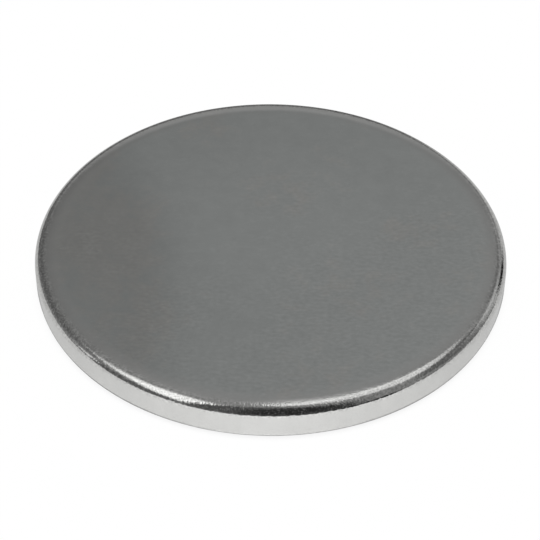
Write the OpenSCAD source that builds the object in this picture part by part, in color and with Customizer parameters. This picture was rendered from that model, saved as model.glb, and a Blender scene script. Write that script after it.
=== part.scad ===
// Plated disc magnet: one pressed and sintered disc, ground flat on both pole faces,
// tumbled so that its rims are rounded, then plated all over.
// The origin is the centre of the lower pole face, and +Z is the disc's axis.

/* [Disc] */
// Diameter over the plating
disc_d = 60; // [20:0.5:120]
// Thickness between the two pole faces
disc_t = 5; // [4:0.1:30]

/* [Rounded rim] */
// Radius that tumbling leaves on each rim
edge_r = 1.4; // [0.3:0.05:1.6]
// Distance from the wall at which the flat of a pole face starts to roll off
roll_off_w = 3.2; // [1.7:0.1:4]
// Radius of the shallow shoulder between that flat and the rim
shoulder_r = 24; // [12:1:100]

/* [Hidden] */
$fn = 128;

disc_r = disc_d / 2;
flat_r = disc_r - roll_off_w;

// A rim arc touches the wall and lies inside a shoulder arc, which touches the flat.
// Their centres are (shoulder_r - edge_r) apart, and this fixes how deep the rim arc sits.
rim_x = disc_r - edge_r;
centre_gap = shoulder_r - edge_r;
centre_dx = rim_x - flat_r;
rim_depth = shoulder_r - sqrt(pow(centre_gap, 2) - pow(centre_dx, 2));

// Radius at which the two arcs meet
shoulder_x = flat_r + shoulder_r * centre_dx / centre_gap;

// Each rim arc is set this much proud, so that the two arcs cross cleanly where they meet.
proud = 0.0001;
rim_low_z = rim_depth - proud;
rim_high_z = disc_t - rim_low_z;

// Half section of the flat middle, out to where the faces start to roll off
module flat_section() {
    square([flat_r, disc_t]);
}

// Half section under the shoulders, between the long arcs of the upper and the lower face
module shoulder_section() {
    intersection() {
        translate([flat_r, 0]) square([shoulder_x - flat_r, disc_t]);
        translate([flat_r, disc_t - shoulder_r]) circle(r = shoulder_r);
        translate([flat_r, shoulder_r]) circle(r = shoulder_r);
    }
}

// Half section of the rim: two rounded edges and the straight wall between them
module rim_section() {
    translate([rim_x, rim_low_z]) circle(r = edge_r);
    translate([rim_x, rim_high_z]) circle(r = edge_r);
    translate([rim_x, rim_low_z]) square([edge_r, rim_high_z - rim_low_z]);
}

// The whole magnet, turned about its axis as one solid
module disc_magnet() {
    color([0.47, 0.48, 0.475])
        rotate_extrude() {
            flat_section();
            shoulder_section();
            rim_section();
        }
}

disc_magnet();
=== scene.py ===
"""A plated disc magnet on a pale studio floor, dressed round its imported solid."""
import math
from collections import namedtuple

import bpy
from mathutils import Matrix, Vector, noise


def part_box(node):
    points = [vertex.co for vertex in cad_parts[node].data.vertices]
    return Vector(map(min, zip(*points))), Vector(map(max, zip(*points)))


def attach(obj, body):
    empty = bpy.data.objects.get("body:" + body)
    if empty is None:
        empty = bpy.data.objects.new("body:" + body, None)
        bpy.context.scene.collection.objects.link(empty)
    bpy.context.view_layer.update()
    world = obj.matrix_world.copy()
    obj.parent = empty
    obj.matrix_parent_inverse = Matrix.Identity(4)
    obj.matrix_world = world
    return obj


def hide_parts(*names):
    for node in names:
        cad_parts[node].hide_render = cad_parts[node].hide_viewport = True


bl_info = {
    "name": "Disc Magnet",
    "version": (1, 0, 0),
    "blender": (4, 5, 0),
    "location": "View3D > Sidebar > Magnet",
    "description": "Builds a nickel plated disc magnet and its studio",
    "category": "Object",
}

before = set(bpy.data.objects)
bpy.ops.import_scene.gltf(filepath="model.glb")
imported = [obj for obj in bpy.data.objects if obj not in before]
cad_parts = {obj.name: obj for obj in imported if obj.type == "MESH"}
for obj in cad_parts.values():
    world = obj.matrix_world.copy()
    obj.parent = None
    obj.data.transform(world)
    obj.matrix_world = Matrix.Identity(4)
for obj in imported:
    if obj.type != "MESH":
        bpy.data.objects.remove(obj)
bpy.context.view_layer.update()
DISC_NODE = "disc_magnet"
DISC_LOW, DISC_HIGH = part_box(DISC_NODE)
DISC_RADIUS = (DISC_HIGH[0] - DISC_LOW[0]) / 2
DISC_THICKNESS = DISC_HIGH[2] - DISC_LOW[2]
MM = 0.001


class Wire:
    """A shader socket that can stand in a Python expression."""

    def __init__(self, graph, socket):
        self.graph = graph
        self.socket = socket

    def _math(self, operation, *values):
        is_vector = any(isinstance(v, Wire) and v.socket.type == "VECTOR" for v in values)
        kind = "ShaderNodeVectorMath" if is_vector else "ShaderNodeMath"
        if is_vector:
            values = [v if isinstance(v, (Wire, tuple)) else (v, v, v) for v in values]
        return self.graph.add(kind, {"operation": operation}, dict(enumerate(values)))

    def __add__(self, other):
        return self._math("ADD", self, other)

    def __radd__(self, other):
        return self._math("ADD", other, self)

    def __sub__(self, other):
        return self._math("SUBTRACT", self, other)

    def __rsub__(self, other):
        return self._math("SUBTRACT", other, self)

    def __mul__(self, other):
        return self._math("MULTIPLY", self, other)

    def __rmul__(self, other):
        return self._math("MULTIPLY", other, self)

    def __truediv__(self, other):
        return self._math("DIVIDE", self, other)

    def __rtruediv__(self, other):
        return self._math("DIVIDE", other, self)

    def __pow__(self, other):
        return self._math("POWER", self, other)

    def __rpow__(self, other):
        return self._math("POWER", other, self)

    def __abs__(self):
        return self._math("ABSOLUTE", self)


class Graph:
    """Writes the nodes of one material or world."""

    # The Mix node's colour sockets, which have the same names as its number sockets.
    MIX_FIRST = 6
    MIX_SECOND = 7
    MIX_RESULT = 2

    def __init__(self, owner):
        owner.use_nodes = True
        self.tree = owner.node_tree
        self.tree.nodes.clear()

    def add(self, kind, settings=None, inputs=None, output=0):
        """Adds a node, sets its settings first and then its sockets, and returns one output."""
        node = self.tree.nodes.new(kind)
        for name, value in (settings or {}).items():
            setattr(node, name, value)
        for name, value in (inputs or {}).items():
            socket = node.inputs[name]
            if isinstance(value, Wire):
                self.tree.links.new(value.socket, socket)
            elif socket.type == "RGBA" and len(value) == 3:
                socket.default_value = (*value, 1.0)
            else:
                socket.default_value = value
        return Wire(self, node.outputs[output]) if node.outputs else None

    def split(self, vector):
        """The three numbers of a vector."""
        parts = self.add("ShaderNodeSeparateXYZ", None, {0: vector}).socket.node
        return tuple(Wire(self, output) for output in parts.outputs)

    def smooth(self, value, low, high):
        """0 below low and 1 above high, with a soft step between."""
        return self.add(
            "ShaderNodeMapRange",
            {"interpolation_type": "SMOOTHSTEP"},
            {"Value": value, "From Min": low, "From Max": high},
        )

    def edge(self, value, place, width):
        """0 well below place and 1 well above it, with a soft step of that width."""
        return self.smooth(value, place - width / 2, place + width / 2)

    def at_least(self, value, least):
        """The value, or least where the value is below it."""
        return self.add("ShaderNodeMath", {"operation": "MAXIMUM"}, {0: value, 1: least})

    def light_paths(self):
        """Two masks: what the camera sees directly, and what is seen in metal or glass."""
        outputs = self.add("ShaderNodeLightPath").socket.node.outputs
        shiny = Wire(self, outputs["Is Glossy Ray"]) + Wire(self, outputs["Is Transmission Ray"])
        return Wire(self, outputs["Is Camera Ray"]), shiny

    def angle(self, operation, *values):
        """An inverse sine or tangent, in degrees."""
        settings = {"operation": operation}
        return self.add("ShaderNodeMath", settings, dict(enumerate(values))) * math.degrees(1)

    @staticmethod
    def distance(x, y):
        """How far a place is from where x and y are 0."""
        return (x * x + y * y) ** 0.5

    @staticmethod
    def over(below, mask, level):
        """What is below, with level laid over it where the mask is 1."""
        return below + (level - below) * mask

    def mix(self, factor, first, second):
        """A colour that runs from first to second."""
        inputs = {0: factor, self.MIX_FIRST: first, self.MIX_SECOND: second}
        return self.add("ShaderNodeMix", {"data_type": "RGBA"}, inputs, self.MIX_RESULT)

    def noise(self, place, scale, detail=2.0, roughness=0.5):
        """Smooth noise round 0, with scale features per unit of place."""
        settings = {"noise_dimensions": "3D"}
        inputs = {"Vector": place, "Scale": scale, "Detail": detail, "Roughness": roughness}
        return self.add("ShaderNodeTexNoise", settings, inputs) - 0.5

    def times(self, colour, factor):
        """A colour multiplied by a number or by a colour."""
        if factor.socket.type != "RGBA":
            factor = self.add("ShaderNodeCombineColor", None, {0: factor, 1: factor, 2: factor})
        settings = {"data_type": "RGBA", "blend_type": "MULTIPLY"}
        inputs = {0: 1.0, self.MIX_FIRST: colour, self.MIX_SECOND: factor}
        return self.add("ShaderNodeMix", settings, inputs, self.MIX_RESULT)


class MagnetShape(bpy.types.PropertyGroup):
    """Sizes of the disc's section. Its diameter and thickness come from the frame."""

    edge_radius: bpy.props.FloatProperty(
        name="Edge radius", description="Radius of each tumbled rim",
        default=1.4 * MM, unit="LENGTH")
    roll_off: bpy.props.FloatProperty(
        name="Roll off", description="Distance from the wall at which a face starts to fall away",
        default=3.2 * MM, unit="LENGTH")
    shoulder_radius: bpy.props.FloatProperty(
        name="Shoulder radius", description="Radius of the shallow shoulder between face and rim",
        default=24.0 * MM, unit="LENGTH")
    segments: bpy.props.IntProperty(
        name="Segments", description="Facets round the rim, a multiple of 32", default=960)
    wave_height: bpy.props.FloatProperty(
        name="Wave height", description="Height of the faint waves that tumbling leaves on the rim",
        default=0.003 * MM, unit="LENGTH")
    wave_length: bpy.props.FloatProperty(
        name="Wave length", description="Size of those waves",
        default=1.3 * MM, unit="LENGTH")


class NickelFinish(bpy.types.PropertyGroup):
    """Colours and textures of the plating."""

    face_colour: bpy.props.FloatVectorProperty(
        name="Face colour", description="Plating on the ground faces",
        default=(0.63, 0.653, 0.642), subtype="COLOR", size=3)
    warm_colour: bpy.props.FloatVectorProperty(
        name="Warm colour", description="Plating where the faces are a little warmer",
        default=(0.645, 0.647, 0.626), subtype="COLOR", size=3)
    # Painted light: the rim's plating is set lighter than the faces', which brightens all that the
    # rim mirrors.
    rim_colour: bpy.props.FloatVectorProperty(
        name="Rim colour", description="Plating on the rim, where it is brightest",
        default=(0.675, 0.675, 0.662), subtype="COLOR", size=3)
    face_metallic: bpy.props.FloatProperty(
        name="Face metallic", description="Share of clear metal on the satin faces", default=0.9)
    face_roughness: bpy.props.FloatProperty(
        name="Face roughness", description="Blur of the satin faces", default=0.10)
    rim_roughness: bpy.props.FloatProperty(
        name="Rim roughness", description="Blur of the polished rim", default=0.035)
    polish_reach: bpy.props.FloatProperty(
        name="Polish reach", description="How far in from the wall the tumbled polish reaches",
        default=2.3 * MM, unit="LENGTH")
    polish_width: bpy.props.FloatProperty(
        name="Polish width", description="Width over which the satin turns into polish",
        default=2.6 * MM, unit="LENGTH")
    clear_reach: bpy.props.FloatProperty(
        name="Clear reach", description="How far in from the wall the plating is clear metal",
        default=1.7 * MM, unit="LENGTH")
    clear_width: bpy.props.FloatProperty(
        name="Clear width", description="Width over which the plating turns into clear metal",
        default=2.8 * MM, unit="LENGTH")
    # Painted shade: darkens the plating's colour along the faces' left side, where the mirrored
    # room is dimmer.
    painted_left_shade: bpy.props.FloatProperty(
        name="Dull side", description="How much duller the faces are along their left side",
        default=0.14)
    rim_grain: bpy.props.FloatProperty(
        name="Rim grain", description="Height of the grain on the rim",
        default=0.015 * MM, unit="LENGTH")
    rim_speckle: bpy.props.FloatProperty(
        name="Rim speckle", description="Change of brightness from grain to grain on the rim",
        default=1.0)
    grain_size: bpy.props.FloatProperty(
        name="Grain size", description="Size of the plating's grain",
        default=0.24 * MM, unit="LENGTH")
    streak_length: bpy.props.FloatProperty(
        name="Streak length", description="Length of the lapping streaks on the faces",
        default=0.7 * MM, unit="LENGTH")
    streak_width: bpy.props.FloatProperty(
        name="Streak width", description="Width of the lapping streaks",
        default=0.45 * MM, unit="LENGTH")
    patch_size: bpy.props.FloatProperty(
        name="Patch size", description="Size of the faint warm and cool patches on the faces",
        default=9.0 * MM, unit="LENGTH")


class StudioSetup(bpy.types.PropertyGroup):
    """Camera, floor and light."""

    floor_size: bpy.props.FloatProperty(
        name="Floor size", description="Side of the floor", default=6.0, unit="LENGTH")
    floor_colour: bpy.props.FloatVectorProperty(
        name="Floor colour", description="Colour of the floor",
        default=(0.95, 0.95, 0.95), subtype="COLOR", size=3)
    floor_clean: bpy.props.FloatProperty(
        name="Floor clean", description="How far the camera sees the floor as plain white",
        default=0.9)
    # Painted shadow: darkens the floor's colour at the back, as the metal sees it.
    rear_painted_shadow: bpy.props.FloatProperty(
        name="Rear dimming", description="How much dimmer the metal sees the floor at the back",
        default=0.45)
    ambient: bpy.props.FloatProperty(
        name="Ambient", description="Brightness of the soft light from all round", default=0.30)
    key_strength: bpy.props.FloatProperty(
        name="Key strength", description="Strength of the soft key light", default=2.46)
    key_azimuth: bpy.props.FloatProperty(
        name="Key azimuth", description="Side the key light comes from, right of the camera",
        default=math.radians(0.0), unit="ROTATION")
    key_elevation: bpy.props.FloatProperty(
        name="Key elevation", description="Angle of the key light above the floor",
        default=math.radians(75.0), unit="ROTATION")
    key_spread: bpy.props.FloatProperty(
        name="Key spread", description="Angle that the soft key light covers",
        default=math.radians(30.0), unit="ROTATION")
    camera_distance: bpy.props.FloatProperty(
        name="Camera distance", description="Distance of the camera from the disc's centre",
        default=0.240, unit="LENGTH")
    camera_elevation: bpy.props.FloatProperty(
        name="Camera elevation", description="Angle of the camera above the floor",
        default=math.radians(41.43), unit="ROTATION")
    camera_roll: bpy.props.FloatProperty(
        name="Camera roll", description="Turn of the camera about its line of sight",
        default=math.radians(0.41), unit="ROTATION")
    lens: bpy.props.FloatProperty(
        name="Lens", description="Focal length in millimetres on a 36 mm sensor", default=124.8)
    aim_right: bpy.props.FloatProperty(
        name="Aim right", description="How far right of the disc's centre the camera aims",
        default=-0.096 * MM, unit="LENGTH")
    aim_up: bpy.props.FloatProperty(
        name="Aim up", description="How far above the disc's centre the camera aims, in its view",
        default=-1.817 * MM, unit="LENGTH")


# How finely the section and the two flat faces are divided.
SHOULDER_STEPS = 10
RIM_STEPS = 26
WALL_STEPS = 3
FLAT_BORDER = 0.1 * MM
FLAT_SHRINK = 0.72
FLAT_LEAST_SEGMENTS = 30

# The finer waves: how many lie in the length of a coarse one, and their share of its height.
FINE_WAVES = 2.3
FINE_WAVE_SHARE = 0.5


def arc_points(centre, radius, start, end, count, include_start=True):
    """Points of an arc in the section, by angle from the axis direction towards the wall."""
    first = 0 if include_start else 1
    angles = [start + (end - start) * i / count for i in range(first, count + 1)]
    return [
        (centre[0] + radius * math.sin(a), centre[1] + radius * math.cos(a)) for a in angles
    ]


def half_section(shape):
    """The upper section, from the flat's edge to the middle of the wall, as (radius, height)."""
    flat_radius = DISC_RADIUS - shape.roll_off
    rim_x = DISC_RADIUS - shape.edge_radius
    centre_gap = shape.shoulder_radius - shape.edge_radius
    slope = math.asin((rim_x - flat_radius) / centre_gap)
    top = DISC_HIGH[2]
    shoulder_centre = (flat_radius, top - shape.shoulder_radius)
    rim_centre = (rim_x, shoulder_centre[1] + centre_gap * math.cos(slope))
    shoulder = arc_points(shoulder_centre, shape.shoulder_radius, 0, slope, SHOULDER_STEPS)
    rim = arc_points(
        rim_centre, shape.edge_radius, slope, math.pi / 2, RIM_STEPS, include_start=False
    )
    middle = (DISC_LOW[2] + DISC_HIGH[2]) / 2
    drop = middle - rim_centre[1]
    wall = [(DISC_RADIUS, rim_centre[1] + drop * i / WALL_STEPS) for i in range(1, WALL_STEPS)]
    return shoulder + rim + wall, middle


def wave(point, shape):
    """Height of the tumbling waves at a point, in metres."""
    place = Vector(point) / shape.wave_length
    fine = FINE_WAVE_SHARE * noise.noise(place * FINE_WAVES)
    return shape.wave_height * (noise.noise(place) + fine)


def ring(radius, height, segments):
    """Points round the axis."""
    step = 2 * math.pi / segments
    return [
        (radius * math.cos(i * step), radius * math.sin(i * step), height)
        for i in range(segments)
    ]


def strip(outer, inner):
    """Faces between a ring and the next one, which has as many points or half as many."""
    count = len(inner)
    faces = []
    for i in range(count):
        j = (i + 1) % count
        if len(outer) == count:
            faces.append((outer[i], outer[j], inner[j], inner[i]))
            continue
        a, b, c = outer[2 * i], outer[2 * i + 1], outer[2 * j]
        faces += [(a, b, inner[i]), (b, inner[j], inner[i]), (b, c, inner[j])]
    return faces


def build_disc_mesh(shape):
    """The whole magnet as one closed mesh: two faces, two shoulders, two rims and the wall."""
    upper, middle = half_section(shape)
    section = upper + [(DISC_RADIUS, middle)]
    section += [(radius, 2 * middle - height) for radius, height in reversed(upper)]
    points = []
    rings = []

    def add_ring(radius, height, segments, waves=0):
        """Adds a ring's points, moved in by that share of the waves, and numbers them."""
        start = len(points)
        level = (height - middle) / (DISC_THICKNESS / 2)
        for point in ring(radius, height, segments):
            if waves:
                outward = Vector((point[0], point[1], 0)).normalized()
                depth = abs(wave(point, shape) * waves)
                point = Vector(point) - outward * depth
                point.z -= level * depth
            points.append(tuple(point))
        return list(range(start, len(points)))

    flat_radius = section[0][0]
    for radius, height in section:
        fade = min(1.0, (radius - flat_radius) / shape.edge_radius)
        rings.append(add_ring(radius, height, shape.segments, fade))
    faces = []
    for outer, inner in zip(rings[1:], rings):
        faces += strip(outer, inner)
    for side, border in ((1, rings[0]), (-1, rings[-1])):
        height = middle + side * DISC_THICKNESS / 2
        radius = flat_radius
        segments = shape.segments
        inner = add_ring(radius - FLAT_BORDER, height, segments)
        flat = strip(border, inner)
        while segments > FLAT_LEAST_SEGMENTS:
            outer = inner
            segments //= 2
            radius *= FLAT_SHRINK
            inner = add_ring(radius, height, segments)
            flat += strip(outer, inner)
        centre = len(points)
        points.append((0.0, 0.0, height))
        flat += [(inner[i], inner[(i + 1) % segments], centre) for i in range(segments)]
        faces += flat if side > 0 else [tuple(reversed(face)) for face in flat]
    mesh = bpy.data.meshes.new("magnet_disc")
    mesh.from_pydata(points, [], faces)
    mesh.validate()
    mesh.shade_smooth()
    return mesh


# Places on the plating, in millimetres: x to the right and y to the back. A step is its place
# and its width. The left side's border leans, and the middle lies a little to the back.
# The left side is darkened with painted shade, and the middle is lit with painted light.
LEFT_SIDE = (-12.5, 9.0)
LEFT_SIDE_LEAN = 0.4
MIDDLE = (14.0, 14.0)
MIDDLE_BACK = 4.0
GRAIN_WIDTH = 1.2
WALL_BORDER = 0.03
WALL_WIDTH = 0.04

# Noise on the plating. A shift only keeps one noise from following another.
CLOUDS_PER_MM = 0.42
CLOUD_SHIFT = (31.0, 7.0, 0.0)
WIPES_PER_MM = (0.5, 0.5, 0.25)
WIPE_SHIFT = (7.0, 2.0, 4.0)

# Where the faces count as worn and as warm: from nothing to fully.
WORN = (-0.14, 0.20)
WORN_CLOUDS = 0.5
WORN_TO_RIGHT = 0.004
WORN_TO_FRONT = 0.010
WARM = (0.06, 0.26)
WARM_PATCHES = 0.8
WARM_CLOUDS = 0.6
WARM_LEFT = 0.22

# How strongly each mark shows.
CLOUD_SHADE = 0.15
CLOUD_BLUR = 0.04
STREAK_SHADE = 0.26
STREAK_LEAST = 0.2
# Painted light: how much lighter the middle of each face is made in its colour.
MIDDLE_PAINTED_LIGHT = 0.05
# Painted light: how much lighter the faces grow per millimetre towards the back.
BACK_PAINTED_LIGHT = 0.0006
WIPE_SHADE = 0.12
DOT_DULLNESS = 0.35
WALL_SPECKLE_LOSS = 0.75
WALL_GRAIN_LOSS = 0.7


def plating_zones(g, radius, finish, shape):
    """Masks by distance from the axis: polished rim, satin, fine grain and wall."""
    wall = DISC_RADIUS / MM
    polished = g.edge(radius, wall - finish.polish_reach / MM, finish.polish_width / MM)
    satin = 1.0 - g.edge(radius, wall - finish.clear_reach / MM, finish.clear_width / MM)
    grained = g.edge(radius, wall - shape.edge_radius / MM, GRAIN_WIDTH)
    return polished, satin, grained, g.edge(radius, wall - WALL_BORDER, WALL_WIDTH)


def nickel_plate(finish, shape):
    """Plating that is satin on the faces and bright on the rim, with painted shade and painted
    light on the faces.
    """
    material = bpy.data.materials.new("nickel plate")
    g = Graph(material)
    place = g.add("ShaderNodeTexCoord", output="Object") * (1 / MM)
    x, y, _ = g.split(place)
    on_rim, satin, grained, on_wall = plating_zones(g, g.distance(x, y), finish, shape)
    on_face = 1.0 - on_rim
    # The left side carries painted shade and part of the faces' warm tint.
    side = 1.0 - g.edge(x + g.at_least(y, 0.0) * LEFT_SIDE_LEAN, *LEFT_SIDE)
    # Painted light: a soft lighter spot in the middle of the faces.
    middle = 1.0 - g.edge(g.distance(x, y - MIDDLE_BACK), *MIDDLE)

    patches = g.noise(place, MM / finish.patch_size)
    clouds = g.noise(place + CLOUD_SHIFT, CLOUDS_PER_MM, detail=3.0, roughness=0.6)
    stretch = (MM / finish.streak_length, MM / finish.streak_width, 1.0)
    streaks = g.noise(place * stretch, 1.0, detail=1.0)
    speckle = g.noise(place, MM / finish.grain_size, detail=1.0, roughness=0.6)
    wipes = g.noise(place * WIPES_PER_MM + WIPE_SHIFT, 1.0)

    worn = patches + clouds * WORN_CLOUDS + x * WORN_TO_RIGHT - y * WORN_TO_FRONT
    worn = g.smooth(worn, *WORN)
    warm = patches * WARM_PATCHES + clouds * WARM_CLOUDS + side * WARM_LEFT
    warm = g.smooth(warm, *WARM)
    tone = g.mix(warm, finish.face_colour[:], finish.warm_colour[:])
    tone = g.mix(on_rim, tone, finish.rim_colour[:])
    # Random clouds, painted light in the middle, and the lapping streaks.
    shade = clouds * CLOUD_SHADE + middle * MIDDLE_PAINTED_LIGHT
    shade = shade + streaks * STREAK_SHADE * (STREAK_LEAST + worn * (1.0 - STREAK_LEAST))
    # Painted shade down the left side, and painted light that grows towards the back.
    painted_shade = side * finish.painted_left_shade - y * BACK_PAINTED_LIGHT
    bright = speckle * grained * (1.0 - WALL_SPECKLE_LOSS * on_wall) * finish.rim_speckle
    bright = bright + wipes * on_rim * WIPE_SHADE
    tone = g.times(tone, 1.0 + (shade - painted_shade) * on_face + bright)

    rough = finish.face_roughness + (finish.rim_roughness - finish.face_roughness) * on_rim
    rough = rough + clouds * on_face * CLOUD_BLUR
    metallic = 1.0 + (finish.face_metallic - 1.0) * satin
    metallic = metallic - g.at_least(speckle, 0.0) * grained * DOT_DULLNESS
    height = speckle * grained * (1.0 - WALL_GRAIN_LOSS * on_wall) * finish.rim_grain
    bump = g.add("ShaderNodeBump", None, {"Strength": 1.0, "Distance": 1.0, "Height": height})
    shader = g.add(
        "ShaderNodeBsdfPrincipled", None,
        {"Base Color": tone, "Metallic": metallic, "Roughness": rough, "Normal": bump})
    g.add("ShaderNodeOutputMaterial", None, {"Surface": shader})
    return material


def direction(azimuth, elevation):
    """A unit vector: azimuth 0 is towards the camera and 90 to its right, in degrees."""
    a = math.radians(azimuth)
    e = math.radians(elevation)
    return Vector((math.cos(e) * math.sin(a), -math.cos(e) * math.cos(a), math.sin(e)))


Card = namedtuple("Card", "level azimuth elevation roll half_width half_height sides bottom top")
Band = namedtuple("Band", "level azimuth half_angle sides low high")

# What the bright metal sees round it, each laid over the ones before, with 1 as white. A card is
# flat and faces the disc: its place and roll are in degrees, and its half sizes and the widths of
# its soft borders are in units of its distance. A band is a stretch of the curved tent, all in
# degrees: its sides are the widths of the left and right borders, and low and high are the height
# and the width of the lower and upper one. Most of these values were first fitted by another
# program to how bright the disc is in the photograph, and part of them then changed one by one.
ROOM = {
    "left dim wall": Card(0.115, -149, 27, 15, 1.05, 0.36, (0.42, 1.0), 0.6, 0.8),
    "back left glow": Band(0.48, -168, 3, (20, 30), (52, 9), (61, 27)),
    "back wall glow": Band(0.295, 168, 32, (24, 12), (26, 4), (33, 4)),
    "back low shade": Band(0.14, 192, 38, (16, 16), (-2, 5), (24, 6)),
    "right dim wall": Card(0.13, 100, 21.5, -44.5, 0.5, 0.28, (0.04, 0.17), 0.04, 0.04),
    "right dim corner": Band(0.16, 151, 10, (6, 8), (34, 5), (44, 5)),
    "right high shade": Band(0.14, 106, 18, (12, 8), (36, 8), (56, 8)),
    "right wall glow": Band(0.72, 124, 7.5, (60, 24), (3.5, 2), (38, 5)),
    "left low shade": Band(0.12, -62, 22, (8, 6), (6, 6), (30, 8)),
    "left softbox": Card(1.30, -52, 52, -38.5, 0.565, 0.263, (0.65, 0.7), 0.28, 0.21),
    "right softbox": Band(0.84, 122, 38, (20, 14), (53.5, 10), (79, 7)),
    "rear softbox": Band(1.0, 165, 14.5, (14, 6), (54, 6), (80, 9)),
    "right shelf": Band(0.48, 148, 17, (2, 6), (0, 2), (14, 8)),
    "right door": Band(0.01, 129, 6.5, (8, 8), (-4, 4), (21.5, 12)),
    "small left lamp": Card(0.80, -84.5, 15.5, -5, 0.072, 0.125, (0.17, 0.04), 0.18, 0.18),
    "flag foot": Band(0.01, 24, 30, (2, 4), (-8, 12), (10.5, 2)),
    "flag": Band(0.094, -5.5, 32, (3, 2), (4, 24), (86, 34)),
    "flag core": Band(0.03, 13.5, 26, (19.5, 20), (11, 4), (75, 40)),
}


# The plain tone behind them, and how much lighter it is overhead: the step is in degrees.
ROOM_LEVEL = 0.248
OVERHEAD_GAIN = 0.030
OVERHEAD = (56, 36)

# A ray counts as meeting a card from this depth along the card's direction, of 1.
CARD_DEPTH = 0.02


def band_mask(g, ray, band):
    """1 where the ray meets a soft stretch of the tent, else 0."""
    x, y, z = g.split(ray)
    turn = math.radians(band.azimuth)
    sideways = x * math.cos(turn) + y * math.sin(turn)
    ahead = x * math.sin(turn) - y * math.cos(turn)
    azimuth = g.angle("ARCTAN2", sideways, ahead)
    elevation = g.angle("ARCSINE", z)
    left, right = band.sides
    mask = g.edge(azimuth, -band.half_angle, left) * (1.0 - g.edge(azimuth, band.half_angle, right))
    return mask * g.edge(elevation, *band.low) * (1.0 - g.edge(elevation, *band.high))


def card_mask(g, ray, card):
    """1 where the ray meets a soft rectangular card that faces the disc, else 0."""
    azimuth = math.radians(card.azimuth)
    turn = math.radians(card.roll)
    ahead = direction(card.azimuth, card.elevation)
    side = Vector((math.cos(azimuth), math.sin(azimuth), 0))
    up = ahead.cross(side)
    wide = side * math.cos(turn) + up * math.sin(turn)
    tall = up * math.cos(turn) - side * math.sin(turn)

    def along(axis):
        settings = {"operation": "DOT_PRODUCT"}
        return g.add("ShaderNodeVectorMath", settings, {0: ray, 1: tuple(axis)}, "Value")

    depth = along(ahead)
    near = g.at_least(depth, CARD_DEPTH)
    mask = g.add("ShaderNodeMath", {"operation": "GREATER_THAN"}, {0: depth, 1: CARD_DEPTH})
    for axis, half, (low_soft, high_soft) in (
        (wide, card.half_width, card.sides),
        (tall, card.half_height, (card.bottom, card.top)),
    ):
        place = along(axis) / near
        mask = mask * g.edge(place, -half, low_soft) * (1.0 - g.edge(place, half, high_soft))
    return mask


def studio_light(studio):
    """White to the camera and even to matt things; bright metal sees a dim room and its lights."""
    world = bpy.data.worlds.new("studio")
    bpy.context.scene.world = world
    world.cycles.sampling_method = "NONE"
    g = Graph(world)
    ray = g.add("ShaderNodeTexCoord", output="Generated")
    _, _, z = g.split(ray)
    elevation = g.angle("ARCSINE", z)
    room = ROOM_LEVEL + OVERHEAD_GAIN * g.edge(elevation, *OVERHEAD)
    for part in ROOM.values():
        mask = card_mask(g, ray, part) if isinstance(part, Card) else band_mask(g, ray, part)
        room = g.over(room, mask, part.level)

    seen, shiny = g.light_paths()
    level = g.over(g.over(studio.ambient, seen, 1.0), shiny, room)
    sky = g.add("ShaderNodeBackground", None, {"Color": (1.0, 1.0, 1.0), "Strength": level})
    g.add("ShaderNodeOutputWorld", None, {"Surface": sky})


def key_light(studio):
    """The soft light that keeps the floor white in front and shades it just behind the disc."""
    data = bpy.data.lights.new("key_light", "SUN")
    data.energy = studio.key_strength
    data.angle = studio.key_spread
    key = bpy.data.objects.new("key_light", data)
    towards = direction(math.degrees(studio.key_azimuth), math.degrees(studio.key_elevation))
    key.rotation_euler = towards.to_track_quat("Z", "Y").to_euler()
    key.visible_glossy = False
    bpy.context.scene.collection.objects.link(key)


# Where the metal sees the floor darker, by the angle from straight in front, in degrees: a painted
# shadow in the floor's colour. The foot is a thin painted contact shadow round the disc: its step
# is measured from the wall.
REAR_SIDES = (52, 127)
STRAIGHT_BEHIND = (155, 30)
STRAIGHT_BEHIND_LEVEL = 0.8
FOOT_SIDES = (22, 30)
FOOT_REACH = 0.2 * MM
FOOT_WIDTH = 0.8 * MM
FOOT_DIMMING = 0.4


def studio_floor(studio):
    """A pale matt floor under the disc, level with its lower face."""
    half = studio.floor_size / 2
    corners = [(-half, -half), (half, -half), (half, half), (-half, half)]
    mesh = bpy.data.meshes.new("studio_floor")
    mesh.from_pydata([(x, y, DISC_LOW[2]) for x, y in corners], [], [(0, 1, 2, 3)])
    floor = bpy.data.objects.new("studio_floor", mesh)
    bpy.context.scene.collection.objects.link(floor)
    material = bpy.data.materials.new("pale floor")
    g = Graph(material)
    x, y, _ = g.split(g.add("ShaderNodeTexCoord", output="Object"))
    behind = abs(g.angle("ARCTAN2", x, 0.0 - y))
    seen, shiny = g.light_paths()
    # Painted shadow in the floor's colour, seen only in the metal: at the back, straight behind and
    # along the foot.
    painted_floor_shadow = g.edge(behind, *REAR_SIDES) * studio.rear_painted_shadow
    painted_floor_shadow = g.over(painted_floor_shadow, g.edge(behind, *STRAIGHT_BEHIND), STRAIGHT_BEHIND_LEVEL)
    foot = 1.0 - g.edge(g.distance(x, y), DISC_RADIUS + FOOT_REACH, FOOT_WIDTH)
    painted_floor_shadow = (painted_floor_shadow + foot * g.edge(behind, *FOOT_SIDES) * FOOT_DIMMING) * shiny
    colour = g.times(studio.floor_colour[:], 1.0 - painted_floor_shadow)
    settings = {"Base Color": colour, "Roughness": 1.0, "Specular IOR Level": 0.0}
    matt = g.add("ShaderNodeBsdfPrincipled", None, settings)
    white = g.add("ShaderNodeEmission", None, {"Strength": 1.0})
    clean = seen * studio.floor_clean
    surface = g.add("ShaderNodeMixShader", None, {0: clean, 1: matt, 2: white})
    g.add("ShaderNodeOutputMaterial", None, {"Surface": surface})
    mesh.materials.append(material)


SENSOR_WIDTH = 36.0
CLIP_START = 0.01


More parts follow.
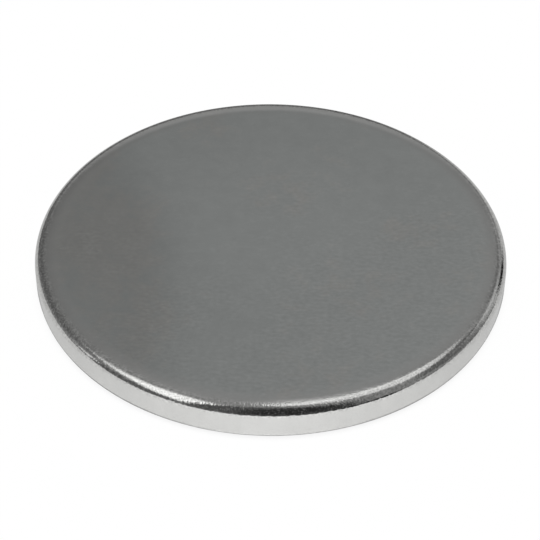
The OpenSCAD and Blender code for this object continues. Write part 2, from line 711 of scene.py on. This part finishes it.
def studio_camera(studio):
    """The camera on the -Y side, aimed a little below the disc's centre."""
    centre = Vector((0, 0, (DISC_LOW[2] + DISC_HIGH[2]) / 2))
    back = direction(0, math.degrees(studio.camera_elevation))
    right = Vector((1, 0, 0))
    up = back.cross(right)
    turn = studio.camera_roll
    right, up = (
        right * math.cos(turn) + up * math.sin(turn),
        up * math.cos(turn) - right * math.sin(turn),
    )
    position = centre + back * studio.camera_distance
    aim = centre + right * studio.aim_right + up * studio.aim_up
    back = (position - aim).normalized()
    right = (right - back * right.dot(back)).normalized()
    up = back.cross(right)
    data = bpy.data.cameras.new("camera")
    data.lens = studio.lens
    data.sensor_width = SENSOR_WIDTH
    data.clip_start = CLIP_START
    camera = bpy.data.objects.new("camera", data)
    camera.matrix_world = Matrix.Translation(position) @ Matrix(
        (right, up, back)).transposed().to_4x4()
    bpy.context.scene.collection.objects.link(camera)
    bpy.context.scene.camera = camera


class MAGNET_OT_disc(bpy.types.Operator):
    """Build the plated disc and let it stand for its solid"""

    bl_idname = "magnet.disc"
    bl_label = "Build disc"

    def execute(self, context):
        if DISC_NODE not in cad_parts:
            raise RuntimeError("the frame has no node " + DISC_NODE)
        shape = context.scene.magnet_shape
        mesh = build_disc_mesh(shape)
        mesh.materials.append(nickel_plate(context.scene.nickel_finish, shape))
        disc = bpy.data.objects.new("plated_disc", mesh)
        context.scene.collection.objects.link(disc)
        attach(disc, "root")
        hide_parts(DISC_NODE)
        return {"FINISHED"}


class MAGNET_OT_stage(bpy.types.Operator):
    """Lay the floor and set the light and the camera"""

    bl_idname = "magnet.stage"
    bl_label = "Build studio"

    def execute(self, context):
        studio = context.scene.magnet_studio
        studio_floor(studio)
        studio_light(studio)
        key_light(studio)
        studio_camera(studio)
        context.scene.view_settings.view_transform = "Standard"
        return {"FINISHED"}


class MAGNET_PT_sidebar(bpy.types.Panel):
    """Sizes, finish and studio of the disc magnet"""

    bl_idname = "MAGNET_PT_sidebar"
    bl_label = "Disc Magnet"
    bl_space_type = "VIEW_3D"
    bl_region_type = "UI"
    bl_category = "Magnet"

    def draw(self, context):
        for group, operator in (
            ("magnet_shape", None),
            ("nickel_finish", MAGNET_OT_disc),
            ("magnet_studio", MAGNET_OT_stage),
        ):
            settings = getattr(context.scene, group)
            box = self.layout.box()
            for name in settings.bl_rna.properties.keys():
                if name not in ("rna_type", "name"):
                    box.prop(settings, name)
            if operator:
                box.operator(operator.bl_idname)


GROUPS = {
    "magnet_shape": MagnetShape,
    "nickel_finish": NickelFinish,
    "magnet_studio": StudioSetup,
}
CLASSES = (*GROUPS.values(), MAGNET_OT_disc, MAGNET_OT_stage, MAGNET_PT_sidebar)


def register():
    for cls in CLASSES:
        bpy.utils.register_class(cls)
    for name, group in GROUPS.items():
        setattr(bpy.types.Scene, name, bpy.props.PointerProperty(type=group))


def unregister():
    for name in GROUPS:
        delattr(bpy.types.Scene, name)
    for cls in reversed(CLASSES):
        bpy.utils.unregister_class(cls)


def main():
    register()
    bpy.ops.magnet.stage()
    bpy.ops.magnet.disc()


if __name__ == "__main__":
    main()
